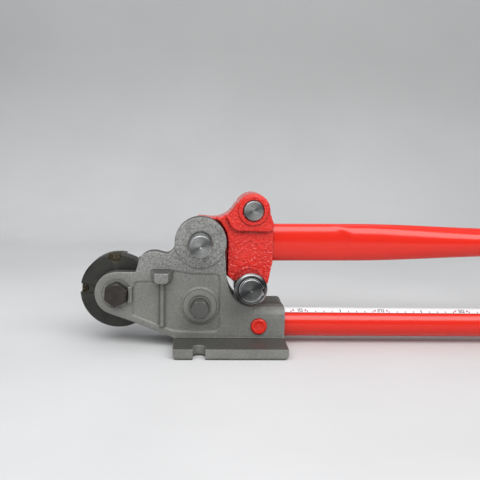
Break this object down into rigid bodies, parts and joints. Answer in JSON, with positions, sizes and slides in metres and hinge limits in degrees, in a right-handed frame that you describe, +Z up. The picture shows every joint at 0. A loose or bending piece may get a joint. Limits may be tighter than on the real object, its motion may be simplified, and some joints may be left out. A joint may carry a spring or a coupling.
{
  "type": "manual rebar cutter and bender",
  "caption": "Hand-operated rebar cutter and bender: cast head on a foot with disc blades, geared lever with bending roller, and two long tube handles.",
  "frame": {"origin": "on the ground plane under the centre pin's axis, in the middle plane of the head", "axes": "+X along the handles, +Y towards the back of the head, +Z up; the working faces are at negative Y"},
  "size_m": [1.129, 0.138, 0.1807],
  "materials": {
    "cast_head": "dark grey phosphated casting",
    "blade_steel": "near-black hardened tool steel",
    "fastener_steel": "dark oiled steel",
    "bright_steel": "turned bright steel",
    "black_oxide": "glossy black oxide",
    "red_paint": "gloss red enamel",
    "tape_white": "white printed strip",
    "grip_rubber": "matte black rubber"
  },
  "bodies": {
    "frame": {"body_casting": "cast_head", "fixed_blade": "blade_steel", "blade_bolt": "fastener_steel", "blade_bush": "bright_steel", "blade_bolt_washer": "fastener_steel", "blade_bolt_nut": "fastener_steel", "blade_dowel": "bright_steel", "idler_journal": "cast_head", "idler_bolt": "fastener_steel", "idler_bolt_washer": "fastener_steel", "idler_rear_washer": "fastener_steel", "idler_nut": "fastener_steel", "centre_pin": "bright_steel", "centre_pin_washer": "fastener_steel", "centre_pin_circlip": "fastener_steel", "lower_handle_tube": "red_paint", "lower_grip": "grip_rubber", "socket_rivet": "red_paint", "measuring_tape": "tape_white"},
    "lever": {"lever_casting": "red_paint", "upper_pin": "bright_steel", "roller_pin": "black_oxide", "roller_circlip": "black_oxide", "roller_pin_rear_circlip": "fastener_steel", "roller_pin_washer": "fastener_steel", "roller_thrust_washer": "fastener_steel", "upper_handle_tube": "red_paint", "upper_grip": "grip_rubber"},
    "roller": {"bending_roller": "black_oxide"},
    "moving_blade": {"moving_blade": "blade_steel"},
    "idler": {"idler_gear": "fastener_steel"}
  },
  "joints": [
    {"name": "lever_swing", "type": "hinge", "parent": "frame", "child": "lever", "pos_m": [0, 0, 0.124], "axis": [0, -1, 0], "range_deg": [0, 120]},
    {"name": "idler_turn", "type": "hinge", "parent": "frame", "child": "idler", "pos_m": [0, 0, 0.05], "axis": [0, -1, 0], "range_deg": [-44.5, 0]},
    {"name": "blade_turn", "type": "hinge", "parent": "frame", "child": "moving_blade", "pos_m": [-0.09497, 0, 0.064], "axis": [0, -1, 0], "range_deg": [0, 26.7]},
    {"name": "roller_spin", "type": "hinge", "parent": "lever", "child": "roller", "pos_m": [0.0565, 0, 0.0765], "axis": [0, -1, 0], "continuous": true}
  ],
  "couplings": [
    {"joint": "idler_turn", "follows": "lever_swing", "ratio": -0.37037},
    {"joint": "blade_turn", "follows": "lever_swing", "ratio": 0.22222}
  ]
}
